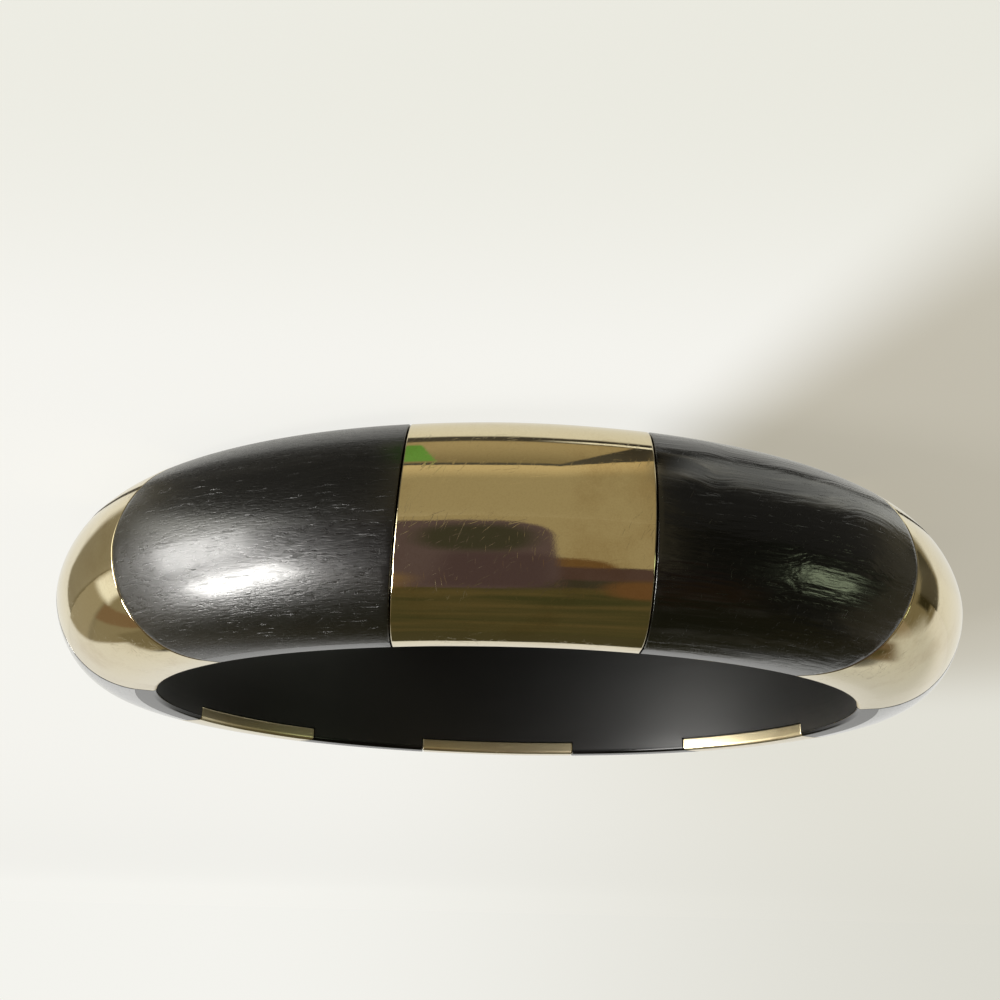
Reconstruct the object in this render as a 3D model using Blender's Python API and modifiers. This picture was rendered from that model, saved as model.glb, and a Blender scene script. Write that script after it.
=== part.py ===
# Closed bangle of six horn staves and six brass strips on a black bore liner, lying flat.
import math

import bmesh
import bpy
from mathutils import Vector

MM = 0.001

# Whole ring: wrist opening, width along the axis and radial wall.
BORE_RADIUS = 32.5 * MM
BAND_WIDTH = 16.2 * MM
BAND_WALL = 9.5 * MM

# Section: rounded bore edge, flat rim, then a dome squarer at the rims than an ellipse.
EDGE_RADIUS = 0.8 * MM
RIM_FLAT = 1.7 * MM
DOME_POWER_RADIAL = 2.45
DOME_POWER_AXIAL = 1.81

# Brass strips: parallel edges, ends folded over the rims and tucked into the bore.
# They are set by eye, so the degrees from one to the next differ a little.
STRIP_TURNS = (0, 60, 124, 180, 236, 300)
STRIP_WIDTH = 17.7 * MM
SHEET = 0.7 * MM
LIP_DEPTH = 1.3 * MM

# Glue line between any two pieces that touch.
BOND = 0.3 * MM

# Facets of the turned shapes, and the edges sharper than this angle that stay crisp.
RING_STEPS = 72
DOME_STEPS = 8
EDGE_STEPS = 3
SMOOTH_ANGLE = math.radians(35)
WELD_DISTANCE = 0.001 * MM

HALF_WIDTH = BAND_WIDTH / 2
OUTER_RADIUS = BORE_RADIUS + BAND_WALL
DOME_START = BORE_RADIUS + EDGE_RADIUS
STAVE_SEAT = DOME_START + RIM_FLAT
LINER_OUTER = STAVE_SEAT - BOND
BACKING_DEPTH = SHEET + BOND
CUTTER_REACH = OUTER_RADIUS + BAND_WALL
CUTTER_START = BORE_RADIUS / 2


# Start from an empty scene.
for old_object in list(bpy.data.objects):
    bpy.data.objects.remove(old_object, do_unlink=True)

bangle = bpy.data.collections.new("horn_and_brass_bangle")
cutters = bpy.data.collections.new("cutters")
rebate_cutters = bpy.data.collections.new("rebate_cutters")
bpy.context.scene.collection.children.link(bangle)
bpy.context.scene.collection.children.link(cutters)
cutters.children.link(rebate_cutters)


def surface(name, colour, roughness, metallic):
    material = bpy.data.materials.new(name)
    material.use_nodes = True
    shader = material.node_tree.nodes["Principled BSDF"]
    shader.inputs["Base Color"].default_value = (*colour, 1.0)
    shader.inputs["Roughness"].default_value = roughness
    shader.inputs["Metallic"].default_value = metallic
    return material


polished_brass = surface("polished_brass", (0.62, 0.47, 0.20), 0.14, 1.0)
black_horn = surface("black_horn", (0.020, 0.018, 0.017), 0.30, 0.0)
black_liner = surface("black_liner", (0.014, 0.013, 0.013), 0.38, 0.0)
backing_wood = surface("backing_wood", (0.23, 0.14, 0.08), 0.60, 0.0)


# Dome of the section from the rim flat to the crown, as radius and height pairs.
def dome_points():
    span = OUTER_RADIUS - DOME_START
    first = math.asin((RIM_FLAT / span) ** (DOME_POWER_RADIAL / 2))
    full_height = math.cos(first) ** (2 / DOME_POWER_AXIAL)
    points = []
    for step in range(DOME_STEPS + 1):
        turn = first + (math.pi / 2 - first) * step / DOME_STEPS
        radius = DOME_START + span * math.sin(turn) ** (2 / DOME_POWER_RADIAL)
        rise = max(math.cos(turn), 0.0) ** (2 / DOME_POWER_AXIAL)
        points.append(Vector((radius, HALF_WIDTH * rise / full_height)))
    return points


# The same dome moved inward by a depth, each facet staying parallel to its own.
def inset_dome(depth):
    points = dome_points()
    before_first = points[0] - Vector((RIM_FLAT, 0))
    mirror_last = Vector((points[-2].x, -points[-2].y))
    chain = [before_first, *points, mirror_last]
    moved = []
    for before, point, after in zip(chain, chain[1:], chain[2:]):
        run_in = (point - before).normalized()
        run_out = (after - point).normalized()
        normal_in = Vector((run_in.y, -run_in.x))
        normal_out = Vector((run_out.y, -run_out.x))
        moved.append(point + (normal_in + normal_out) * depth / (1 + normal_in.dot(normal_out)))
    return moved


# Upper half of a skin: rounded bore edge, rim flat and dome, inset by a depth.
def upper_skin(depth):
    radius = EDGE_RADIUS - depth
    if radius > 0:
        centre = Vector((DOME_START, HALF_WIDTH - EDGE_RADIUS))
        turns = [math.pi - math.pi / 2 * step / EDGE_STEPS for step in range(EDGE_STEPS + 1)]
        edge = [centre + radius * Vector((math.cos(turn), math.sin(turn))) for turn in turns]
    else:
        edge = [Vector((BORE_RADIUS + depth, HALF_WIDTH - depth))]
    return edge + inset_dome(depth)


# Adds the lower half to an upper half that ends on the crown.
def both_halves(upper):
    lower = [Vector((point.x, -point.y)) for point in reversed(upper[:-1])]
    return upper + lower


# Turns one or more closed sections round the ring axis.
def turned(name, sections):
    mesh = bpy.data.meshes.new(name)
    points = []
    edges = []
    for section in sections:
        start = len(points)
        points += [(point.x, 0.0, point.y) for point in section]
        edges += [(start + n, start + (n + 1) % len(section)) for n in range(len(section))]
    mesh.from_pydata(points, edges, [])
    blank = bpy.data.objects.new(name, mesh)
    screw = blank.modifiers.new("turn", "SCREW")
    screw.axis = "Z"
    screw.angle = 2 * math.pi
    screw.steps = RING_STEPS
    screw.render_steps = RING_STEPS
    return blank


def as_cutter(item, collection):
    collection.objects.link(item)
    item.hide_render = True
    item.display_type = "WIRE"


# Mesh of an object as its modifiers or curve settings shape it; the object itself goes.
def solid_mesh(item):
    as_cutter(item, cutters)
    bpy.context.view_layer.update()
    graph = bpy.context.evaluated_depsgraph_get()
    mesh = bpy.data.meshes.new_from_object(item.evaluated_get(graph))
    bpy.data.objects.remove(item, do_unlink=True)
    return mesh


# Upright prism over a flat outline, used to cut a turned ring to length.
def prism(name, outline):
    curve = bpy.data.curves.new(name, "CURVE")
    curve.dimensions = "2D"
    curve.fill_mode = "BOTH"
    curve.extrude = BAND_WIDTH
    spline = curve.splines.new("POLY")
    spline.points.add(len(outline) - 1)
    for corner, (x, y) in zip(spline.points, outline):
        corner.co = (x, y, 0.0, 1.0)
    spline.use_cyclic_u = True
    sketch = bpy.data.objects.new(name + "_outline", curve)
    cutter = bpy.data.objects.new(name, solid_mesh(sketch))
    weld = bmesh.new()
    weld.from_mesh(cutter.data)
    bmesh.ops.remove_doubles(weld, verts=weld.verts, dist=WELD_DISTANCE)
    bmesh.ops.recalc_face_normals(weld, faces=weld.faces)
    weld.to_mesh(cutter.data)
    weld.free()
    as_cutter(cutter, cutters)
    return cutter


# Straight-sided slot across the front of the ring, as wide as one strip.
def strip_slot(name, width):
    half = width / 2
    far_side = [(-half, -CUTTER_REACH), (half, -CUTTER_REACH)]
    near_side = [(half, -CUTTER_START), (-half, -CUTTER_START)]
    return prism(name, far_side + near_side)


# Wedge left between two slots that are a pitch apart, pointing at the ring axis.
def stave_wedge(name, slot_width, pitch):
    half_pitch = pitch / 2
    tip = slot_width / 2 / math.sin(half_pitch)
    side = CUTTER_REACH / math.cos(half_pitch)
    far = tip + side * math.cos(half_pitch)
    spread = side * math.sin(half_pitch)
    return prism(name, [(0, -tip), (-spread, -far), (spread, -far)])


def boolean(item, operation, cutter):
    cut = item.modifiers.new(operation.lower(), "BOOLEAN")
    cut.operation = operation
    cut.solver = "EXACT"
    cut.object = cutter
    return cut


# Finished mesh of a blank with its cuts made, rounded faces shaded smooth.
def finished_mesh(blank, name):
    mesh = solid_mesh(blank)
    mesh.name = name
    mesh.shade_smooth()
    mesh.set_sharp_from_angle(angle=SMOOTH_ANGLE)
    return mesh


def place(name, mesh, material, turn):
    item = bpy.data.objects.new(name, mesh)
    item.rotation_euler.z = turn
    item.location.z = HALF_WIDTH
    if not mesh.materials:
        mesh.materials.append(material)
    bangle.objects.link(item)
    return item


# Brass strip: sheet folded over the dome, both rims and into the bore.
outer_path = both_halves(upper_skin(0.0))
inner_path = both_halves(upper_skin(SHEET))
lip_end = HALF_WIDTH - LIP_DEPTH
outer_path = [Vector((BORE_RADIUS, lip_end)), *outer_path, Vector((BORE_RADIUS, -lip_end))]
inner_radius = BORE_RADIUS + SHEET
inner_path = [Vector((inner_radius, lip_end)), *inner_path, Vector((inner_radius, -lip_end))]
strip_blank = turned("strip_blank", [outer_path + inner_path[::-1]])
slot = strip_slot("strip_slot", STRIP_WIDTH)
boolean(strip_blank, "INTERSECT", slot)
strip_mesh = finished_mesh(strip_blank, "brass_strip")

# Backing block: fills the strip between its inner face and the liner.
block_skin = both_halves(inset_dome(BACKING_DEPTH))
block_blank = turned("block_blank", [block_skin])
boolean(block_blank, "INTERSECT", slot)
block_mesh = finished_mesh(block_blank, "strip_block")

# Horn stave: solid domed piece between two strips, with ends parallel to their edges.
def stave_mesh(pitch):
    blank = turned("stave_blank", [both_halves(dome_points())])
    boolean(blank, "INTERSECT", stave_wedge("stave_wedge", STRIP_WIDTH + 2 * BOND, pitch))
    return finished_mesh(blank, "horn_stave")


strip_turns = [math.radians(degrees) for degrees in STRIP_TURNS]
next_turns = [*strip_turns[1:], strip_turns[0] + 2 * math.pi]
for number, (turn, next_turn) in enumerate(zip(strip_turns, next_turns), start=1):
    place(f"brass_strip_{number}", strip_mesh, polished_brass, turn)
    place(f"strip_block_{number}", block_mesh, backing_wood, turn)
    place(f"horn_stave_{number}", stave_mesh(next_turn - turn), black_horn, (turn + next_turn) / 2)

# Rebates in the liner edges that house the folded strip ends.
lip_seat = lip_end - BOND
rim_seat = HALF_WIDTH - BACKING_DEPTH
lip_radius = BORE_RADIUS + BACKING_DEPTH
rebate = [
    Vector((BORE_RADIUS - BOND, HALF_WIDTH + BOND)),
    Vector((LINER_OUTER + BOND, HALF_WIDTH + BOND)),
    Vector((LINER_OUTER + BOND, rim_seat)),
    Vector((lip_radius, rim_seat)),
    Vector((lip_radius, lip_seat)),
    Vector((BORE_RADIUS - BOND, lip_seat)),
]
lower_rebate = [Vector((point.x, -point.y)) for point in reversed(rebate)]
rebate_blank = turned("rebate_blank", [rebate, lower_rebate])
wide_slot = strip_slot("rebate_slot", STRIP_WIDTH + 2 * BOND)
boolean(rebate_blank, "INTERSECT", wide_slot)
rebate_mesh = finished_mesh(rebate_blank, "rebate_cutter")
for number, turn in enumerate(strip_turns, start=1):
    rebate_cutter = bpy.data.objects.new(f"rebate_cutter_{number}", rebate_mesh)
    rebate_cutter.rotation_euler.z = turn
    as_cutter(rebate_cutter, rebate_cutters)

# Bore liner: one black band with rounded bore edges, rebated under every strip end.
liner_edge = upper_skin(0.0)[: EDGE_STEPS + 1]
liner_top = [*liner_edge, Vector((LINER_OUTER, HALF_WIDTH))]
liner_bottom = [Vector((point.x, -point.y)) for point in reversed(liner_top)]
liner_blank = turned("liner_blank", [liner_top + liner_bottom])
rebating = boolean(liner_blank, "DIFFERENCE", None)
rebating.operand_type = "COLLECTION"
rebating.collection = rebate_cutters
place("bore_liner", finished_mesh(liner_blank, "bore_liner"), black_liner, 0.0)
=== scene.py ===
import math

import bpy
from mathutils import Matrix, Quaternion, Vector


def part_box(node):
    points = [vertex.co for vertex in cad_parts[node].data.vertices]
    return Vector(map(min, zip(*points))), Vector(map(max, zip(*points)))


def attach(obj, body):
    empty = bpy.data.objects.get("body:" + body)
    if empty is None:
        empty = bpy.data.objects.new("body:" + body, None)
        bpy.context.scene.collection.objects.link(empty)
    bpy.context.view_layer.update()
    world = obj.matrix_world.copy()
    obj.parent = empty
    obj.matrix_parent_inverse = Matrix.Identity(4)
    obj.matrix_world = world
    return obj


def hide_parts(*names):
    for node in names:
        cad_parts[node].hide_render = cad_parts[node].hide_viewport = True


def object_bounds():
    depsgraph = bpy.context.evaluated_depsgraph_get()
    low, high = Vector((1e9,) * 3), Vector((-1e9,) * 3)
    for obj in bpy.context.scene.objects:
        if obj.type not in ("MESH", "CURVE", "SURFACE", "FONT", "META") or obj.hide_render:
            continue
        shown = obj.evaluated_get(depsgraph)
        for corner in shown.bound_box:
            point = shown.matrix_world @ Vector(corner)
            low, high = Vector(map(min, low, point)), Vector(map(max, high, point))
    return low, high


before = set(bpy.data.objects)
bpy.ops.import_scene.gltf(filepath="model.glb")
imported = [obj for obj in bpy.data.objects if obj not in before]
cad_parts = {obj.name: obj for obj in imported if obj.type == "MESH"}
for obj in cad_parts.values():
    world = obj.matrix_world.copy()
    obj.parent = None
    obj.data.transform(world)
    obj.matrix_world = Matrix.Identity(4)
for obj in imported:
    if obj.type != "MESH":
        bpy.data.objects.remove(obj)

cadBox = [list(corner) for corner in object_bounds()]
linerLow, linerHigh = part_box("bore_liner")
print("frame loaded:", len(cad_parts), "nodes")


# Sizes in metres; the width and the outer radius come from the frame
ring = {
    "boreRadius": 0.0325,
    "outerRadius": cadBox[1][1],
    "width": linerHigh.z - linerLow.z,
    "edgeRadius": 0.0004,
    "domeBase": 0.0333,
    "rimFlat": 0.0011,
    "domePowerRadial": 2.45,
    "domePowerAxial": 1.81,
    "stripTurns": (0, 60.5, 124, 180, 236, 300.5),  # degrees
    "stripWidth": 0.0177,
    "sheet": 0.00035,  # as it shows at the folded ends
    "lipDepth": 0.0013,
    "seam": 0.00008,  # visible joint line between strip and stave
    "glue": 0.00001,  # closed joint between stave and liner
}
middle = ring["width"] / 2
domeStart = ring["domeBase"]
staveSeat = domeStart + ring["rimFlat"]
stripTurns = {number: math.radians(turn) for number, turn in enumerate(ring["stripTurns"], start=1)}

# Strips listed here: how far an edge leans per metre of band width, as (+side, -side)
edgeLean = {1: (0.057, 0.011), 2: (0.0, 0.015), 6: (0.11, 0.0)}

# How sections are drawn, joined and cut
cutting = {
    "startSize": 0.001,
    "weld": 1e-6,  # points closer than this become one
    "onPlane": 1e-7,
    "onMiddle": 1e-9,
    "leastTravel": 0.01,  # rows that hardly cross a cut stay where they are
    "slideRounds": 3,
    "roundSegments": 3,
}


# Selection and finishing helpers
def onlyThis(piece):
    bpy.ops.object.select_all(action="DESELECT")
    piece.select_set(True)
    bpy.context.view_layer.objects.active = piece


def ownCopy(blank, name):
    onlyThis(blank)
    bpy.ops.object.duplicate(linked=False)
    piece = bpy.context.object
    piece.name = name
    piece.data.name = name
    return piece


def turnInPlace(piece, turn):
    onlyThis(piece)
    piece.rotation_euler.z = turn
    bpy.ops.object.transform_apply(location=False, rotation=True, scale=False)


def applyModifier(piece, kind, **values):
    onlyThis(piece)
    modifier = piece.modifiers.new(kind.title(), kind)
    for key, value in values.items():
        setattr(modifier, key, value)
    bpy.ops.object.modifier_apply(modifier=modifier.name)


def smoothShade(piece, degrees):
    onlyThis(piece)
    bpy.ops.object.shade_smooth_by_angle(angle=math.radians(degrees))


def remove(*pieces):
    for piece in pieces:
        bpy.data.objects.remove(piece, do_unlink=True)


def settle(piece, node, material):
    piece.data.materials.clear()
    piece.data.materials.append(material)
    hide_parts(node)
    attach(piece, "root")


# Section curves as (radius, height above the middle) pairs
def domeCurve(steps):
    span = ring["outerRadius"] - domeStart
    first = math.asin((ring["rimFlat"] / span) ** (ring["domePowerRadial"] / 2))
    full = math.cos(first) ** (2 / ring["domePowerAxial"])
    points = []
    for step in range(steps + 1):
        turn = first + (math.pi / 2 - first) * step / steps
        radius = domeStart + span * math.sin(turn) ** (2 / ring["domePowerRadial"])
        rise = max(math.cos(turn), 0.0) ** (2 / ring["domePowerAxial"])
        points.append(Vector((radius, middle * rise / full)))
    return points


def edgeCurve(steps):
    centre = Vector((ring["boreRadius"] + ring["edgeRadius"], middle - ring["edgeRadius"]))
    turns = [math.pi - math.pi / 2 * step / steps for step in range(steps + 1)]
    return [centre + ring["edgeRadius"] * Vector((math.cos(turn), math.sin(turn))) for turn in turns]


def insetCurve(points, depth):
    chain = [points[0] - Vector((ring["rimFlat"], 0)), *points, Vector((points[-2].x, -points[-2].y))]
    moved = []
    for before, point, after in zip(chain, chain[1:], chain[2:]):
        run = (after - before).normalized()
        moved.append(point + depth * Vector((run.y, -run.x)))
    return moved


def mirrored(upper):
    lower = [Vector((point.x, -point.y)) for point in reversed(upper)]
    return upper + [point for point in lower if point.y < -cutting["onMiddle"]]


# Modelling: draw a section, spin it round the axis, trim it along a strip's edges
def atTurn(point, turn):  # turn 0 faces the front, -Y
    return Vector((point.x * math.sin(turn), -point.x * math.cos(turn), middle + point.y))


def drawSection(name, points, turn, closed):
    bpy.ops.object.select_all(action="DESELECT")
    bpy.ops.mesh.primitive_plane_add(size=cutting["startSize"], location=(0, 0, 0))
    piece = bpy.context.object
    piece.name = name
    piece.data.name = name
    bpy.ops.object.mode_set(mode="EDIT")
    bpy.ops.mesh.select_all(action="SELECT")
    bpy.ops.mesh.merge(type="CENTER")  # one vertex to draw with
    stops = [atTurn(point, turn) for point in points]
    if closed:
        stops.append(stops[0])
    bpy.ops.transform.translate(value=stops[0])
    for before, after in zip(stops, stops[1:]):
        bpy.ops.mesh.extrude_region_move(TRANSFORM_OT_translate={"value": after - before})
    bpy.ops.mesh.select_all(action="SELECT")
    bpy.ops.mesh.remove_doubles(threshold=cutting["weld"])
    return piece


def spinSection(name, points, halfAngle, steps, closed):
    piece = drawSection(name, points, -halfAngle, closed)
    bpy.ops.mesh.spin(steps=steps, angle=2 * halfAngle, center=(0, 0, 0), axis=(0, 0, -1))
    bpy.ops.mesh.select_all(action="SELECT")
    bpy.ops.mesh.remove_doubles(threshold=cutting["weld"])
    bpy.ops.mesh.normals_make_consistent(inside=False)
    bpy.ops.object.mode_set(mode="OBJECT")
    return piece


def faceOutward(piece):  # an open sheet can come out of a spin inside out
    facing = sum(face.normal.dot(face.center - Vector((0, 0, middle))) for face in piece.data.polygons)
    if facing < 0:
        onlyThis(piece)
        bpy.ops.object.mode_set(mode="EDIT")
        bpy.ops.mesh.select_all(action="SELECT")
        bpy.ops.mesh.flip_normals()
        bpy.ops.object.mode_set(mode="OBJECT")


def edgePlane(number, side, away):  # side +1 or -1; away moves the plane off the strip
    lean = edgeLean.get(number, (0.0, 0.0))[0 if side > 0 else 1]
    normal = Vector((side, 0, -side * lean)).normalized()
    place = Vector((side * ring["stripWidth"] / 2, 0, middle)) + normal * away
    turned = Matrix.Rotation(stripTurns[number], 3, "Z")
    return turned @ place, turned @ normal


# The nearest corner of every row moves round the ring onto the cut
def slideToCut(piece, place, normal, column):
    for vertex in piece.data.vertices:
        spot = vertex.co.copy()
        for _ in range(cutting["slideRounds"]):
            travel = Vector((-spot.y, spot.x, 0)).dot(normal)
            if abs(travel) > cutting["leastTravel"]:
                spot.rotate(Quaternion((0, 0, 1), (place - spot).dot(normal) / travel))
        if (spot - vertex.co).length < column / 2 * vertex.co.xy.length:
            vertex.co = spot


def trim(piece, number, side, away, keepStrip, fill, column=0.0, edgeRound=0.0):
    place, normal = edgePlane(number, side, away)
    onlyThis(piece)
    if column:
        slideToCut(piece, place, normal, column)
    bpy.ops.object.mode_set(mode="EDIT")
    bpy.ops.mesh.select_all(action="SELECT")
    bpy.ops.mesh.bisect(plane_co=place, plane_no=normal, use_fill=fill, clear_outer=keepStrip,
                        clear_inner=not keepStrip, threshold=cutting["onPlane"])
    if edgeRound:  # the cut end is still selected
        bpy.ops.mesh.bevel(offset=edgeRound, offset_type="OFFSET", affect="EDGES",
                           segments=cutting["roundSegments"])
    bpy.ops.object.mode_set(mode="OBJECT")


def trimToStrip(piece, number, away, fill, column=0.0):
    trim(piece, number, 1, away, True, fill, column)
    trim(piece, number, -1, away, True, fill, column)


# Node helpers
def addNode(tree, kind, **values):
    made = tree.nodes.new(kind)
    for key, value in values.items():
        setattr(made, key, value)
    return made


def feed(tree, source, target):
    if hasattr(source, "links"):
        tree.links.new(source, target)
    else:
        target.default_value = source


def mathStep(tree, operation, *sources):
    made = addNode(tree, "ShaderNodeMath", operation=operation)
    for place, source in enumerate(sources):
        feed(tree, source, made.inputs[place])
    return made.outputs[0]


def both(tree, *masks):
    joined = masks[0]
    for mask in masks[1:]:
        joined = mathStep(tree, "MULTIPLY", joined, mask)
    return joined


def spread(tree, value, fromLow, fromHigh, toLow, toHigh, smooth=False):
    made = addNode(tree, "ShaderNodeMapRange")
    made.interpolation_type = "SMOOTHSTEP" if smooth else "LINEAR"
    for place, source in enumerate((value, fromLow, fromHigh, toLow, toHigh)):
        feed(tree, source, made.inputs[place])
    return made.outputs[0]


def fade(tree, value, ends, smooth=True):  # 0 at the first end, 1 at the second
    return spread(tree, value, *ends, 0.0, 1.0, smooth)


def slope(tree, x, y, xShare, yShare):
    return mathStep(tree, "ADD", mathStep(tree, "MULTIPLY", x, xShare), mathStep(tree, "MULTIPLY", y, yShare))


def blendColours(tree, factor, first, second, mode="MIX"):
    made = addNode(tree, "ShaderNodeMix", data_type="RGBA", blend_type=mode)
    feed(tree, factor, made.inputs["Factor"])
    feed(tree, first, made.inputs[6])
    feed(tree, second, made.inputs[7])
    return made.outputs[2]


noiseCore = (0.3, 0.7)  # where most values of a noise pattern lie


def noise(tree, vector, scale, detail, roughness=0.5, w=None):
    made = addNode(tree, "ShaderNodeTexNoise", noise_dimensions="3D" if w is None else "4D")
    feed(tree, vector, made.inputs["Vector"])
    if w is not None:
        feed(tree, w, made.inputs["W"])
    feed(tree, scale, made.inputs["Scale"])
    made.inputs["Detail"].default_value = detail
    made.inputs["Roughness"].default_value = roughness
    return made.outputs["Fac"]


def newGroup(name, inputs, outputs):
    tree = bpy.data.node_groups.new(name, "ShaderNodeTree")
    for label, default in inputs:
        socket = tree.interface.new_socket(name=label, in_out="INPUT", socket_type="NodeSocketFloat")
        socket.default_value = default
    for label in outputs:
        tree.interface.new_socket(name=label, in_out="OUTPUT", socket_type="NodeSocketFloat")
    return tree, addNode(tree, "NodeGroupInput"), addNode(tree, "NodeGroupOutput")


def placeGroup(tree, group, **values):
    made = addNode(tree, "ShaderNodeGroup", node_tree=group)
    for label, value in values.items():
        feed(tree, value, made.inputs[label])
    return made


def newMaterial(name):
    material = bpy.data.materials.new(name)
    material.use_nodes = True
    tree = material.node_tree
    return material, tree, tree.nodes["Principled BSDF"]


def addBump(tree, shader, height, strength, distance):
    bump = addNode(tree, "ShaderNodeBump")
    bump.inputs["Strength"].default_value = strength
    bump.inputs["Distance"].default_value = distance
    feed(tree, height, bump.inputs["Height"])
    tree.links.new(bump.outputs["Normal"], shader.inputs["Normal"])


def placeOnRing(tree):  # object coordinates and the distance from the ring's axis
    coords = addNode(tree, "ShaderNodeTexCoord").outputs["Object"]
    apart = addNode(tree, "ShaderNodeSeparateXYZ")
    tree.links.new(coords, apart.inputs[0])
    x, y, z = apart.outputs
    squares = [mathStep(tree, "MULTIPLY", side, side) for side in (x, y)]
    radius = mathStep(tree, "SQRT", mathStep(tree, "ADD", *squares))
    return {"coords": coords, "x": x, "y": y, "z": z, "radius": radius}


def rimMask(tree, depth):
    height = placeOnRing(tree)["z"]
    offMiddle = mathStep(tree, "ABSOLUTE", mathStep(tree, "SUBTRACT", height, middle))
    return fade(tree, offMiddle, (middle - depth, middle - depth / 3))


# Marks that several finishes share
markShape = {
    "depth": 0.0001,  # mark depths in the looks below are in tenths of a millimetre
    "driftScale": 90.0,
    "scratchEdge": 0.06,
    "scratchSize": (0.00009, 0.0017, 0.0013),
    "scratchTurns": [(0.3, 0.2, 0.5), (1.1, 0.7, -0.4), (-0.5, 0.9, 1.3), (0.8, -0.6, 2.2), (-1.2, 0.4, 0.1)],
}


# Fine lines that run round the ring, as turning and sanding leave them
def buildTurningLines():
    inputs = [("Along", 300.0), ("Across", 3000.0), ("Wander", 0.0)]
    tree, given, result = newGroup("turningLines", inputs, ["Lines"])
    spot = placeOnRing(tree)
    wander = noise(tree, spot["coords"], markShape["driftScale"], 2.0)
    drift = mathStep(tree, "MULTIPLY", wander, given.outputs["Wander"])
    along, across = given.outputs["Along"], given.outputs["Across"]
    joined = addNode(tree, "ShaderNodeCombineXYZ")
    tree.links.new(mathStep(tree, "MULTIPLY", spot["x"], along), joined.inputs[0])
    tree.links.new(mathStep(tree, "MULTIPLY", spot["y"], along), joined.inputs[1])
    height = mathStep(tree, "MULTIPLY", mathStep(tree, "ADD", spot["z"], drift), across)
    tree.links.new(height, joined.inputs[2])
    depth = mathStep(tree, "MULTIPLY", mathStep(tree, "ADD", spot["radius"], drift), across)
    tree.links.new(noise(tree, joined.outputs[0], 1.0, 3.0, 0.6, depth), result.inputs["Lines"])
    return tree


# Short hairline scratches, each set lying in its own direction
def buildScratches():
    tree, given, result = newGroup("scratches", [("Density", 0.70), ("Size", 1.0)], ["Scratches"])
    coords = addNode(tree, "ShaderNodeTexCoord").outputs["Object"]
    ceiling = mathStep(tree, "ADD", given.outputs["Density"], markShape["scratchEdge"])
    total = None
    for turn in markShape["scratchTurns"]:
        mapping = addNode(tree, "ShaderNodeMapping", vector_type="TEXTURE")  # turns first, then stretches
        mapping.inputs["Rotation"].default_value = turn
        mapping.inputs["Scale"].default_value = markShape["scratchSize"]
        tree.links.new(coords, mapping.inputs["Vector"])
        lines = noise(tree, mapping.outputs[0], given.outputs["Size"], 1.0)
        mark = fade(tree, lines, (given.outputs["Density"], ceiling), False)
        total = mark if total is None else mathStep(tree, "MAXIMUM", total, mark)
    tree.links.new(total, result.inputs["Scratches"])
    return tree


# Cloudy patches for tarnish, polish haze and horn tone
def buildClouds():
    tree, given, result = newGroup("clouds", [("Scale", 120.0), ("Low", 0.4), ("High", 0.7)], ["Clouds"])
    coords = addNode(tree, "ShaderNodeTexCoord").outputs["Object"]
    patches = noise(tree, coords, given.outputs["Scale"], 4.0, 0.6)
    shown = fade(tree, patches, (given.outputs["Low"], given.outputs["High"]))
    tree.links.new(shown, result.inputs["Clouds"])
    return tree


turningLines = buildTurningLines()
scratches = buildScratches()
clouds = buildClouds()

# Polished brass, hand worked
brassLook = {
    "gold": (0.80, 0.70, 0.46, 1),
    "tarnish": (0.62, 0.49, 0.28, 1),
    "patchTarnish": 0.6,
    "speckleScale": 8000.0,
    "speckleCore": (0.35, 0.65),
    "speckleTarnish": (-0.08, 0.14),
    "gloss": (0.03, 0.07),
    "lipGloss": 0.30,  # the folded ends in the bore are left unpolished
    "lipEdge": (0.0001, 0.0005),
    "scratchDull": 0.20,
    "haze": 0.018,
    "scratch": 0.025,
    "grain": 0.006,
}


def brassMaterial():
    material, tree, shader = newMaterial("polishedBrass")
    spot = placeOnRing(tree)
    patches = placeGroup(tree, clouds, Scale=210.0, Low=0.46, High=0.78).outputs[0]
    worn = placeGroup(tree, clouds, Scale=95.0, Low=0.40, High=0.62).outputs[0]
    haze = placeGroup(tree, turningLines, Along=420.0, Across=3600.0, Wander=0.0006).outputs[0]
    marks = placeGroup(tree, scratches, Density=0.70, Size=1.0).outputs[0]
    marks = mathStep(tree, "MULTIPLY", marks, worn)
    grain = noise(tree, spot["coords"], brassLook["speckleScale"], 1.0)
    speckle = spread(tree, grain, *brassLook["speckleCore"], *brassLook["speckleTarnish"])
    tarnish = mathStep(tree, "ADD", mathStep(tree, "MULTIPLY", patches, brassLook["patchTarnish"]), speckle)
    colour = blendColours(tree, tarnish, brassLook["gold"], brassLook["tarnish"])
    tree.links.new(colour, shader.inputs["Base Color"])
    gloss = spread(tree, haze, *noiseCore, *brassLook["gloss"])
    lipEdge = [ring["boreRadius"] + depth for depth in brassLook["lipEdge"]]
    lip = spread(tree, spot["radius"], *lipEdge, brassLook["lipGloss"], 0.0, True)
    dull = mathStep(tree, "ADD", lip, mathStep(tree, "MULTIPLY", marks, brassLook["scratchDull"]))
    tree.links.new(mathStep(tree, "ADD", gloss, dull), shader.inputs["Roughness"])
    shader.inputs["Metallic"].default_value = 1.0
    relief = mathStep(tree, "SUBTRACT", mathStep(tree, "MULTIPLY", haze, brassLook["haze"]),
                      mathStep(tree, "MULTIPLY", marks, brassLook["scratch"]))
    relief = mathStep(tree, "ADD", relief, mathStep(tree, "MULTIPLY", grain, brassLook["grain"]))
    addBump(tree, shader, relief, 1.0, markShape["depth"])
    return material
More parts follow.
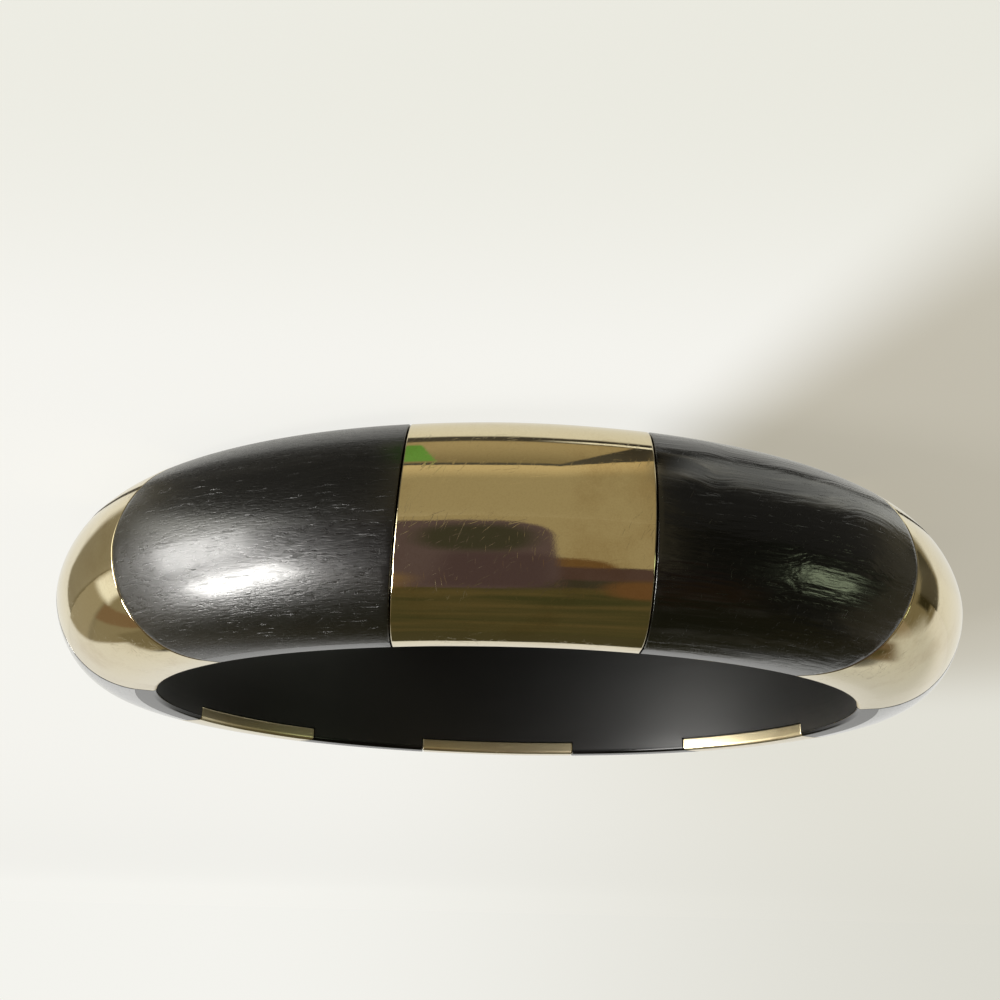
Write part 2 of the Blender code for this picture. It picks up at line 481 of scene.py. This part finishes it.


# Black horn; the staves differ in streaks and gloss. The pale streaks are partly the horn's own grain and
# partly a painted reflection of a bright band, lying mostly towards the lower rim
hornLooks = {
    "satin": {"black": (0.0028, 0.0027, 0.0020, 1), "streakAndSheen": (0.020, 0.019, 0.016, 1), "amount": 0.5,
              "gloss": (0.25, 0.37), "coat": 0.28, "coatGloss": 0.15,
              "lines": 0.34, "fibres": 0.10, "marks": 0.24},
    "glossy": {"black": (0.0014, 0.0015, 0.0010, 1), "streakAndSheen": (0.36, 0.355, 0.335, 1), "amount": 1.0,
               "gloss": (0.16, 0.28), "coat": 0.25, "coatGloss": 0.06,
               "lines": 0.06, "fibres": 1.5, "marks": 0.12},
    "polished": {"black": (0.0030, 0.0028, 0.0020, 1), "streakAndSheen": (0.16, 0.155, 0.14, 1), "amount": 0.7,
                 "gloss": (0.15, 0.25), "coat": 1.0, "coatGloss": 0.08,
                 "lines": 0.05, "fibres": 0.6, "marks": 0.10},
}
hornChoice = {1: "satin", 2: "polished", 3: "polished", 4: "polished", 5: "polished", 6: "glossy"}
hornShared = {
    "bending": 1.55,  # index of refraction
    "markDull": 0.10,
    "dashes": (0.62, 0.70),
    "streaksAndSheen": (0.46, 0.70),
    "sheenSideDrop": (0.0012, 0.0042),  # below the middle, where the pale streaks fade in towards the lower rim: painted reflection on that side
    "sheenSideLeast": 0.03,
}


def hornMaterial(name):
    look = hornLooks[name]
    material, tree, shader = newMaterial(name + "Horn")
    fibres = placeGroup(tree, turningLines, Along=40.0, Across=1000.0, Wander=0.0040).outputs[0]
    lines = placeGroup(tree, turningLines, Along=1300.0, Across=8800.0, Wander=0.0003).outputs[0]
    dashes = placeGroup(tree, turningLines, Along=420.0, Across=5200.0, Wander=0.0005).outputs[0]
    patches = placeGroup(tree, clouds, Scale=75.0, Low=0.34, High=0.60).outputs[0]
    marks = placeGroup(tree, scratches, Density=0.76, Size=1.3).outputs[0]
    marks = mathStep(tree, "MAXIMUM", marks, fade(tree, dashes, hornShared["dashes"], False))
    sheenSideEnds = [middle - drop for drop in hornShared["sheenSideDrop"]]
    # Painted reflection: the pale streaks show mostly towards the lower rim
    pale = spread(tree, placeOnRing(tree)["z"], *sheenSideEnds, hornShared["sheenSideLeast"], 1.0, True)
    streaksAndSheen = both(tree, fade(tree, fibres, hornShared["streaksAndSheen"]), patches, pale)
    tone = mathStep(tree, "MULTIPLY", streaksAndSheen, look["amount"])
    tree.links.new(blendColours(tree, tone, look["black"], look["streakAndSheen"]), shader.inputs["Base Color"])
    gloss = spread(tree, lines, *noiseCore, *look["gloss"])
    dull = mathStep(tree, "MULTIPLY", marks, hornShared["markDull"])
    tree.links.new(mathStep(tree, "ADD", gloss, dull), shader.inputs["Roughness"])
    shader.inputs["IOR"].default_value = hornShared["bending"]
    shader.inputs["Coat Weight"].default_value = look["coat"]
    shader.inputs["Coat Roughness"].default_value = look["coatGloss"]
    relief = mathStep(tree, "ADD", mathStep(tree, "MULTIPLY", lines, look["lines"]),
                      mathStep(tree, "MULTIPLY", fibres, look["fibres"]))
    relief = mathStep(tree, "SUBTRACT", relief, mathStep(tree, "MULTIPLY", marks, look["marks"]))
    addBump(tree, shader, relief, 1.0, markShape["depth"])
    return material


# Black satin bore with glossier rims
linerLook = {
    "black": (0.0010, 0.0011, 0.0010, 1),
    "worn": (0.003, 0.0029, 0.0027, 1),
    "gloss": (0.33, 0.47),
    "rimGloss": 0.16,
    "rimDepth": 0.0006,
    "shine": 0.2,
    "coat": 1.0,
    "coatGloss": 0.42,
    "relief": (0.15, 0.00002),  # strength and depth
}


def linerMaterial():
    material, tree, shader = newMaterial("blackBore")
    lines = placeGroup(tree, turningLines, Along=160.0, Across=1800.0, Wander=0.0004).outputs[0]
    patches = placeGroup(tree, clouds, Scale=60.0, Low=0.4, High=0.7).outputs[0]
    colour = blendColours(tree, patches, linerLook["black"], linerLook["worn"])
    tree.links.new(colour, shader.inputs["Base Color"])
    rim = rimMask(tree, linerLook["rimDepth"])
    bore = spread(tree, lines, *noiseCore, *linerLook["gloss"])
    boreShare = mathStep(tree, "MULTIPLY", bore, mathStep(tree, "SUBTRACT", 1.0, rim))
    rimShare = mathStep(tree, "MULTIPLY", rim, linerLook["rimGloss"])
    tree.links.new(mathStep(tree, "ADD", boreShare, rimShare), shader.inputs["Roughness"])
    tree.links.new(spread(tree, rim, 0.0, 1.0, linerLook["coat"], 0.0), shader.inputs["Coat Weight"])
    shader.inputs["Coat Roughness"].default_value = linerLook["coatGloss"]
    shader.inputs["Specular IOR Level"].default_value = linerLook["shine"]
    addBump(tree, shader, lines, *linerLook["relief"])
    return material


# Plain backing wood under the strips
woodLook = {
    "pale": (0.28, 0.17, 0.09, 1),
    "dark": (0.13, 0.07, 0.035, 1),
    "grainCore": (0.2, 0.8),
    "gloss": (0.5, 0.75),
    "relief": (0.3, 0.0001),  # strength and depth
}


def woodMaterial():
    material, tree, shader = newMaterial("backingWood")
    grain = placeGroup(tree, turningLines, Along=110.0, Across=1500.0, Wander=0.002).outputs[0]
    tree.links.new(blendColours(tree, grain, woodLook["pale"], woodLook["dark"]), shader.inputs["Base Color"])
    gloss = spread(tree, grain, *woodLook["grainCore"], *woodLook["gloss"])
    tree.links.new(gloss, shader.inputs["Roughness"])
    addBump(tree, shader, grain, *woodLook["relief"])
    return material


brass = brassMaterial()
horns = {name: hornMaterial(name) for name in hornLooks}
blackBore = linerMaterial()
backingWood = woodMaterial()
print("materials made")

# Brass strips: sheet over the dome, both rims and into the bore
brassShape = {"domeSteps": 40, "edgeSteps": 8, "spinSteps": 52, "halfAngle": math.radians(19.5),
              "edgeRound": 0.00015, "wave": 0.000035, "waveLength": 0.006, "smooth": 40, "sharp": 50}
stripColumn = 2 * brassShape["halfAngle"] / brassShape["spinSteps"]
lipEnd = Vector((ring["boreRadius"], middle - ring["lipDepth"]))
stripPath = mirrored([lipEnd, *edgeCurve(brassShape["edgeSteps"]), *domeCurve(brassShape["domeSteps"])])
stripBlank = spinSection("stripBlank", stripPath, brassShape["halfAngle"], brassShape["spinSteps"], False)
faceOutward(stripBlank)
handWave = bpy.data.textures.new("handWave", "CLOUDS")
handWave.noise_scale = brassShape["waveLength"]
handWave.noise_depth = 1
for number, turn in stripTurns.items():
    strip = ownCopy(stripBlank, f"brassStrip{number}")
    turnInPlace(strip, turn)
    trimToStrip(strip, number, 0.0, False, stripColumn)
    applyModifier(strip, "DISPLACE", texture=handWave, texture_coords="LOCAL",
                  strength=brassShape["wave"], mid_level=0.5)
    applyModifier(strip, "SOLIDIFY", thickness=ring["sheet"], offset=-1.0, use_even_offset=True)
    smoothShade(strip, brassShape["smooth"])
    applyModifier(strip, "BEVEL", width=brassShape["edgeRound"], segments=cutting["roundSegments"],
                  limit_method="ANGLE", angle_limit=math.radians(brassShape["sharp"]), harden_normals=True)
    settle(strip, f"brass_strip_{number}", brass)
remove(stripBlank)
print("brass strips made")

# Backing blocks inside the strips
blockShape = {"domeSteps": 16, "spinSteps": 24, "halfAngle": math.radians(19.5), "smooth": 40,
              "depth": ring["sheet"] + 4 * ring["seam"]}
blockSection = mirrored(insetCurve(domeCurve(blockShape["domeSteps"]), blockShape["depth"]))
blockBlank = spinSection("blockBlank", blockSection, blockShape["halfAngle"], blockShape["spinSteps"], True)
for number, turn in stripTurns.items():
    block = ownCopy(blockBlank, f"stripBlock{number}")
    turnInPlace(block, turn)
    trimToStrip(block, number, -ring["seam"], True)
    smoothShade(block, blockShape["smooth"])
    settle(block, f"strip_block_{number}", backingWood)
remove(blockBlank)
print("backing blocks made")

# Horn staves: solid domes between the strips, ends parallel to the strip edges
staveShape = {"domeSteps": 40, "spinSteps": 60, "halfAngle": math.radians(23), "edgeRound": 0.00012,
              "smooth": 40}
staveColumn = 2 * staveShape["halfAngle"] / staveShape["spinSteps"]
staveSection = mirrored(domeCurve(staveShape["domeSteps"]))
staveBlank = spinSection("staveBlank", staveSection, staveShape["halfAngle"], staveShape["spinSteps"], True)
for number, turn in stripTurns.items():
    following = number % len(stripTurns) + 1
    pitch = (stripTurns[following] - turn) % (2 * math.pi)
    stave = ownCopy(staveBlank, f"hornStave{number}")
    turnInPlace(stave, turn + pitch / 2)
    trim(stave, number, 1, ring["seam"], False, True, staveColumn, staveShape["edgeRound"])
    trim(stave, following, -1, ring["seam"], False, True, staveColumn, staveShape["edgeRound"])
    smoothShade(stave, staveShape["smooth"])
    settle(stave, f"horn_stave_{number}", horns[hornChoice[number]])
remove(staveBlank)
print("horn staves made")

# Bore liner, rebated under every folded strip end
linerShape = {"spinSteps": 240, "edgeSteps": 8, "margin": 0.001, "smooth": 35,
              "rebateSteps": 40, "rebateHalfAngle": math.radians(20)}
linerOuter = staveSeat - ring["glue"]
boreGuard = Vector((ring["boreRadius"], middle - 2 * ring["lipDepth"]))
linerSection = mirrored([boreGuard, *edgeCurve(linerShape["edgeSteps"]), Vector((linerOuter, middle))])
liner = spinSection("boreLiner", linerSection, math.pi, linerShape["spinSteps"], True)
lipBack = ring["boreRadius"] + ring["sheet"] + ring["seam"]
rimSeat = middle - ring["sheet"] - ring["seam"]
lipSeat = middle - ring["lipDepth"] - ring["seam"]
clearIn = ring["boreRadius"] - linerShape["margin"]
clearOut = staveSeat + linerShape["margin"]
clearTop = middle + linerShape["margin"]
rebateSection = [Vector((clearIn, clearTop)), Vector((clearOut, clearTop)), Vector((clearOut, rimSeat)),
                 Vector((lipBack, rimSeat)), Vector((lipBack, lipSeat)), Vector((clearIn, lipSeat))]
lowerSection = [Vector((point.x, -point.y)) for point in rebateSection]
cutters = []
for section in (rebateSection, lowerSection):
    rebateBlank = spinSection("rebateBlank", section, linerShape["rebateHalfAngle"],
                              linerShape["rebateSteps"], True)
    for number, turn in stripTurns.items():
        cutter = ownCopy(rebateBlank, "rebateCutter")
        turnInPlace(cutter, turn)
        trimToStrip(cutter, number, ring["seam"], True)
        cutters.append(cutter)
    remove(rebateBlank)
onlyThis(cutters[0])
for cutter in cutters:
    cutter.select_set(True)
bpy.ops.object.join()
rebates = bpy.context.object
applyModifier(liner, "BOOLEAN", operation="DIFFERENCE", solver="EXACT", object=rebates)
remove(rebates)
smoothShade(liner, linerShape["smooth"])
settle(liner, "bore_liner", blackBore)
print("bore liner made")


# Studio round the ring, in degrees across and up; front is arched over, back and round are level turns
def wallZone(by, across, up, soft, colour, corner=0):
    return {"by": by, "across": across, "up": up, "soft": soft, "colour": colour, "corner": corner}


studio = {
    "room": (0.049, 0.045, 0.034, 1),
    "olive": (0.051, 0.051, 0.022, 1),
    "tan": (0.098, 0.078, 0.035, 1),
    "stripes": {"across": 1.6, "up": 6.0, "core": (0.35, 0.65)},
    "walls": {
        "leftHigh": wallZone("round", (100, 152), (12, 60), 4, (0.27, 0.235, 0.155, 1)),
        "leftSide": wallZone("round", (96, 144), (-20, 12), 4, (0.351, 0.311, 0.219, 1)),
        "leftBrown": wallZone("round", (119, 128), (12, 30), 2, (0.214, 0.146, 0.086, 1)),
        "leftPane": wallZone("round", (110, 118), (1, 13), 4, (1.0, 1.0, 0.95, 1)),
        "rightSide": wallZone("round", (-126, -98), (-30, 34), 3, (0.195, 0.165, 0.098, 1)),
        "rightDark": wallZone("round", (-119, -112), (-25, 4), 2, (0.034, 0.029, 0.013, 1)),
        "rightTan": wallZone("round", (-127, -112), (15, 21), 2, (0.292, 0.238, 0.164, 1)),
        "backWall": wallZone("back", (-57, 40), (-20, 26), 2, (0.80, 0.795, 0.77, 1)),
        "backRight": wallZone("back", (-60, -16), (8, 26), 10, (0.60, 0.60, 0.57, 1)),
        "rightBrown": wallZone("round", (-139, -122), (23, 32), 5, (0.17, 0.13, 0.08, 1), 4),
        "overhead": wallZone("front", (-44, 40), (66, 143), 4, None),  # striped
        "leftBack": wallZone("front", (16, 42), (138, 149), 3, (0.20, 0.17, 0.105, 1)),
        "overheadBack": wallZone("front", (-14, 14), (138, 160), 3, (0.064, 0.057, 0.027, 1)),
        "frontWall": wallZone("front", (-36, 38), (-40, 44), 2, (0.345, 0.29, 0.175, 1)),
        "rust": wallZone("front", (-21, -3), (36, 50), 3, (0.156, 0.091, 0.039, 1), 7),
        "plum": wallZone("front", (-45, -3), (44, 57), 3, (0.083, 0.053, 0.051, 1), 4),
        "rustLow": wallZone("front", (-48, -17), (57, 78), 6, (0.137, 0.073, 0.033, 1), 8),
        "flag": wallZone("front", (-8.5, 70), (4, 68), 2, (0.102, 0.075, 0.086, 1), 13),
        "flagLow": wallZone("front", (-8, 16), (32, 67), 8, (0.073, 0.05, 0.059, 1), 6),
        "flagCore": wallZone("front", (-4, 22), (8, 31), 8, (0.047, 0.046, 0.033, 1), 9),
        "leftRust": wallZone("front", (20, 50), (54, 72), 8, (0.185, 0.123, 0.063, 1), 6),
    },
}

# Floor as the eye sees it: a pale glow with a painted shadow (shade) and a painted darker right side, and
# darker towards the near side; zones give where each tone begins and is full, in metres
floorLook = {
    "size": 40.0,
    "drop": 0.00005,  # just under the lower rim
    "white": (0.835, 0.83, 0.79, 1),
    "near": (0.73, 0.73, 0.655, 1),
    "shade": (0.465, 0.435, 0.355, 1),
    "farLeft": (0.905, 0.90, 0.855, 1),
    # painted shade: the right side of the floor darker
    "farRight": (0.70, 0.69, 0.62, 1),
    "lit": (0.05, 0.049, 0.047, 1),
}
floorZones = {
    "near": (-0.045, -0.085),
    "shadeEdge": (0.004, -0.009),
    "shadeSlant": -0.3,
    "shadeEnd": (0.150, 0.045),
    "far": (0.05, 0.14),
    "farWhite": (0.10, 2.5),
    "aside": (0.20, -0.45),  # sideways share of the distance
}

# Painted reflections: the floor as the polished pieces mirror it, dimmer than the eye sees it, with painted
# dark contact rings and lines, a painted glint, painted bright and dark patches of the room and a painted
# pool of light inside the ring; later tones lie over earlier ones
paintedReflectionLook = {
    "around": (0.058, 0.053, 0.041, 1),
    "front": (0.275, 0.225, 0.115, 1),
    "frontEdge": (0.52, 0.42, 0.23, 1),
    "frontClose": (0.332, 0.265, 0.141, 1),
    "frontDim": (0.156, 0.119, 0.047, 1),
    "sides": (0.185, 0.16, 0.098, 1),
    "behind": (0.76, 0.755, 0.715, 1),
    "patch": (0.034, 0.029, 0.013, 1),
    "left": (3.0, 2.96, 2.66, 1),
    "right": (0.85, 0.85, 0.78, 1),
    "line": (0.008, 0.006, 0.002, 1),
    # painted contact shadow and painted bright band under the ring
    "contact": (0.008, 0.005, 0.002, 1),
    "under": (0.74, 0.73, 0.68, 1),
    "inside": (0.012, 0.011, 0.009, 1),
    "glint": (1.0, 1.0, 0.95, 1),
    "insideLit": (2.0, 2.0, 1.8, 1),
    "green": (0.065, 0.26, 0.012, 1),
}
paintedReflectionZones = {
    "front": {"start": -0.042, "edge": (0.0125, 0.0095), "flare": -0.65, "end": (-0.01, -0.02)},
    "frontBands": {"dim": (0.0405, 0.0445), "step": (0.0445, 0.0447), "edge": (0.0448, 0.0485),
                   "far": (0.10, 0.80)},
    "sides": {"across": (0.028, 0.034), "end": (-0.034, -0.024)},
    "behind": {"left": (0.0585, 0.0555), "leftSlant": -0.89, "right": (0.0725, 0.0690), "rightSlant": -1.49,
               "end": (-0.026, -0.021)},
    "patch": {"edge": (-0.0720, -0.0745), "slant": 1.49, "back": (-0.0415, -0.0390), "backSlant": 0.404,
              "across": (-0.042, -0.046)},
    "left": {"across": (0.036, 0.050), "end": (-0.021, -0.033), "edge": (-0.002, 0.012), "slant": 1.0},
    "right": {"across": (-0.011, -0.015), "end": (-0.018, -0.024), "reach": (0.0455, 0.0435)},
    "line": {"start": -0.003, "inner": (0.0441, 0.0444), "innerFlare": 0.72, "outer": (0.0448, 0.0446),
             "outerFlare": 0.33},
    "rings": {"contact": (0.0405, 0.0402), "under": (0.0397, 0.0394), "inside": (0.0345, 0.0335)},
    "glint": {"reach": 0.0401, "width": (0.00016, 0.00008), "across": (0.0, -0.006)},
    "insideLit": {"across": (0.008, 0.020), "end": (-0.012, 0.0), "reach": (0.0340, 0.0330)},
    "green": {"edge": (0.0150, 0.0153), "slant": 0.17, "inner": (0.0407, 0.0410), "outer": (0.0440, 0.0437)},
}


def seenFloorPaintedShade(tree, spot):
    x, y, reach = spot["x"], spot["y"], spot["radius"]
    shade = both(tree, fade(tree, slope(tree, x, y, 1.0, floorZones["shadeSlant"]), floorZones["shadeEdge"]),
                 fade(tree, y, floorZones["shadeEnd"]))
    seen = blendColours(tree, fade(tree, y, floorZones["near"]), floorLook["white"], floorLook["near"])
    # Painted shadow laid over the pale floor
    seen = blendColours(tree, shade, seen, floorLook["shade"])
    farWhite = fade(tree, reach, floorZones["farWhite"])
    far = blendColours(tree, farWhite, floorLook["white"], floorLook["farLeft"])
    aside = fade(tree, mathStep(tree, "DIVIDE", x, reach), floorZones["aside"])
    far = blendColours(tree, aside, far, floorLook["farRight"])
    return blendColours(tree, fade(tree, reach, floorZones["far"]), seen, far)


def paintedReflectionFloor(tree, spot):
    x, y, reach = spot["x"], spot["y"], spot["radius"]
    width = mathStep(tree, "ABSOLUTE", x)

    zone = paintedReflectionZones["front"]
    ahead = mathStep(tree, "MAXIMUM", mathStep(tree, "SUBTRACT", zone["start"], y), 0.0)
    front = both(tree, fade(tree, slope(tree, width, ahead, 1.0, zone["flare"]), zone["edge"]),
                 fade(tree, y, zone["end"]))

    zone = paintedReflectionZones["line"]
    flare = mathStep(tree, "MAXIMUM", mathStep(tree, "SUBTRACT", zone["start"], x), 0.0)
    lowEdge = slope(tree, reach, flare, 1.0, zone["outerFlare"])
    line = both(tree, fade(tree, slope(tree, reach, flare, 1.0, zone["innerFlare"]), zone["inner"]),
                fade(tree, lowEdge, zone["outer"]), front)

    zone = paintedReflectionZones["frontBands"]
    close = blendColours(tree, fade(tree, reach, zone["dim"]),
                         paintedReflectionLook["frontClose"], paintedReflectionLook["frontDim"])
    beyond = blendColours(tree, fade(tree, lowEdge, zone["edge"]),
                          paintedReflectionLook["frontEdge"], paintedReflectionLook["front"])
    farColour = studio["walls"]["frontWall"]["colour"]
    beyond = blendColours(tree, fade(tree, reach, zone["far"], False), beyond, farColour)
    frontColour = blendColours(tree, fade(tree, lowEdge, zone["step"], False), close, beyond)
    shown = blendColours(tree, front, paintedReflectionLook["around"], frontColour)

    masks = {}
    zone = paintedReflectionZones["sides"]
    masks["sides"] = both(tree, fade(tree, width, zone["across"]), fade(tree, y, zone["end"]))
    zone = paintedReflectionZones["behind"]
    masks["behind"] = both(tree, fade(tree, slope(tree, x, y, 1.0, zone["leftSlant"]), zone["left"]),
                           fade(tree, slope(tree, x, y, -1.0, zone["rightSlant"]), zone["right"]),
                           fade(tree, y, zone["end"]))
    zone = paintedReflectionZones["patch"]
    masks["patch"] = both(tree, fade(tree, slope(tree, x, y, 1.0, zone["slant"]), zone["edge"]),
                          fade(tree, slope(tree, x, y, zone["backSlant"], 1.0), zone["back"]),
                          fade(tree, x, zone["across"]))
    zone = paintedReflectionZones["left"]
    masks["left"] = both(tree, fade(tree, x, zone["across"]), fade(tree, y, zone["end"]),
                         fade(tree, slope(tree, x, y, 1.0, zone["slant"]), zone["edge"]))
    zone = paintedReflectionZones["right"]
    masks["right"] = both(tree, fade(tree, x, zone["across"]), fade(tree, y, zone["end"]),
                          fade(tree, reach, zone["reach"]))
    masks["line"] = line
    # Painted contact shadow, painted bright band under the ring and painted dark floor inside it
    for name, ends in paintedReflectionZones["rings"].items():
        masks[name] = fade(tree, reach, ends)
    # Painted glint
    zone = paintedReflectionZones["glint"]
    offGlint = mathStep(tree, "ABSOLUTE", mathStep(tree, "SUBTRACT", reach, zone["reach"]))
    masks["glint"] = both(tree, fade(tree, offGlint, zone["width"], False),
                          fade(tree, x, zone["across"]), front)
    # Painted pool of light inside the ring, mirrored in the bore
    zone = paintedReflectionZones["insideLit"]
    masks["insideLit"] = both(tree, fade(tree, x, zone["across"]), fade(tree, y, zone["end"]),
                              fade(tree, reach, zone["reach"]))
    # Painted green reflection
    zone = paintedReflectionZones["green"]
    masks["green"] = both(tree, fade(tree, slope(tree, x, reach, 1.0, zone["slant"]), zone["edge"], False),
                          front, fade(tree, reach, zone["inner"], False),
                          fade(tree, reach, zone["outer"], False))
    for name, mask in masks.items():
        shown = blendColours(tree, mask, shown, paintedReflectionLook[name])
    return shown


# The floor glows with painted light: the eye sees the pale floor with its painted shade, the polished pieces
# see the painted reflections; the lamps add only a faint share
def floorMaterial():
    material, tree, shader = newMaterial("paleFloor")
    spot = placeOnRing(tree)
    toEye = addNode(tree, "ShaderNodeLightPath").outputs["Is Camera Ray"]
    glow = blendColours(tree, toEye, paintedReflectionFloor(tree, spot), seenFloorPaintedShade(tree, spot))
    tree.links.new(glow, shader.inputs["Emission Color"])
    shader.inputs["Emission Strength"].default_value = 1.0
    shader.inputs["Base Color"].default_value = floorLook["lit"]
    shader.inputs["Roughness"].default_value = 0.9
    shader.inputs["Specular IOR Level"].default_value = 0.0
    return material


bpy.ops.object.select_all(action="DESELECT")
bpy.ops.mesh.primitive_plane_add(size=floorLook["size"], location=(0, 0, -floorLook["drop"]))
floor = bpy.context.object
floor.name = "floor"
floor.data.materials.append(floorMaterial())


def wallMask(tree, across, up, wall):  # a box with rounded corners and a soft edge
    corner = math.radians(wall["corner"])
    beyond = []
    for value, (low, high) in ((across, wall["across"]), (up, wall["up"])):
        centre = math.radians(low + high) / 2
        offMiddle = mathStep(tree, "ABSOLUTE", mathStep(tree, "SUBTRACT", value, centre))
        beyond.append(mathStep(tree, "SUBTRACT", offMiddle, math.radians(high - low) / 2 - corner))
    squares = [mathStep(tree, "POWER", mathStep(tree, "MAXIMUM", side, 0.0), 2.0) for side in beyond]
    outside = mathStep(tree, "SQRT", mathStep(tree, "ADD", *squares))
    inside = mathStep(tree, "MINIMUM", mathStep(tree, "MAXIMUM", *beyond), 0.0)
    distance = mathStep(tree, "ADD", outside, inside)
    soft = math.radians(wall["soft"]) / 2
    return fade(tree, distance, (corner + soft, corner - soft))


def buildWorld():
    world = bpy.data.worlds.new("studio")
    bpy.context.scene.world = world
    world.use_nodes = True
    tree = world.node_tree
    back = tree.nodes["Background"]
    direction = addNode(tree, "ShaderNodeTexCoord").outputs["Generated"]
    apart = addNode(tree, "ShaderNodeSeparateXYZ")
    tree.links.new(direction, apart.inputs[0])
    x, y, z = apart.outputs
    toFront = mathStep(tree, "MULTIPLY", y, -1.0)
    height = mathStep(tree, "ARCSINE", z)
    grids = {"round": (mathStep(tree, "ARCTAN2", x, toFront), height),
             "back": (mathStep(tree, "ARCTAN2", x, y), height),
             "front": (mathStep(tree, "ARCSINE", x), mathStep(tree, "ARCTAN2", z, toFront))}
    stretch = studio["stripes"]
    joined = addNode(tree, "ShaderNodeCombineXYZ")
    tree.links.new(mathStep(tree, "MULTIPLY", grids["front"][0], stretch["across"]), joined.inputs[0])
    tree.links.new(mathStep(tree, "MULTIPLY", grids["front"][1], stretch["up"]), joined.inputs[1])
    stripes = fade(tree, noise(tree, joined.outputs[0], 1.0, 3.0, 0.55), stretch["core"], False)
    ceiling = blendColours(tree, stripes, studio["olive"], studio["tan"])
    room = studio["room"]
    for wall in studio["walls"].values():
        across, up = grids[wall["by"]]
        room = blendColours(tree, wallMask(tree, across, up, wall), room, wall["colour"] or ceiling)
    # The eye sees the backdrop in the floor's far tones, with the same painted darker right side
    seen = blendColours(tree, fade(tree, x, floorZones["aside"]), floorLook["farLeft"], floorLook["farRight"])
    toEye = addNode(tree, "ShaderNodeLightPath").outputs["Is Camera Ray"]
    tree.links.new(blendColours(tree, toEye, room, seen), back.inputs["Color"])


buildWorld()

# Lamps: size and place in metres, aimed at the ring
lamps = {
    "leftWindow": {"place": (0.632, -0.169, 0.433), "size": (0.38, 0.17), "power": 8.6,
                   "colour": (1.0, 0.985, 0.95), "glossy": True},
    "leftGlow": {"place": (0.581, -0.145, 0.039), "size": (0.29, 0.27), "power": 4.0,
                 "colour": (1.0, 0.985, 0.95), "glossy": True},
    "rightLamp": {"place": (-0.563, -0.125, 0.168), "size": (0.17, 0.085), "power": 0.15,
                  "colour": (0.86, 1.0, 0.62), "glossy": True},
    "softTop": {"place": (0.25, -0.25, 1.1), "size": (1.4, 1.4), "power": 10.0,
                "colour": (1.0, 0.985, 0.96), "glossy": False},
}
for name, lamp in lamps.items():
    bpy.ops.object.light_add(type="AREA", location=lamp["place"])
    light = bpy.context.object
    light.name = name
    light.data.shape = "RECTANGLE"
    light.data.size, light.data.size_y = lamp["size"]
    light.data.energy = lamp["power"]
    light.data.color = lamp["colour"]
    light.visible_glossy = lamp["glossy"]
    aim = Vector((0, 0, middle)) - Vector(lamp["place"])
    light.rotation_euler = aim.to_track_quat("-Z", "Y").to_euler()

# Camera held upside down, so the near rim is at the bottom of the picture
view = {"place": (0.00362, -0.12656, 0.03463), "aim": (0.00106, 0.0, -0.00518), "roll": 181.4, "angle": 41.51,
        "sensor": 36.0, "nearest": 0.005}
bpy.ops.object.camera_add(location=view["place"])
camera = bpy.context.object
camera.name = "photoView"
camera.data.sensor_width = view["sensor"]
camera.data.lens = camera.data.sensor_width / 2 / math.tan(math.radians(view["angle"]) / 2)
camera.data.clip_start = view["nearest"]
look = (Vector(view["aim"]) - Vector(view["place"])).to_track_quat("-Z", "Y")
camera.rotation_mode = "QUATERNION"
camera.rotation_quaternion = look @ Quaternion((0, 0, 1), math.radians(view["roll"]))
bpy.context.scene.camera = camera
bpy.context.scene.view_settings.view_transform = "Standard"
print("stage, lamps and camera set")
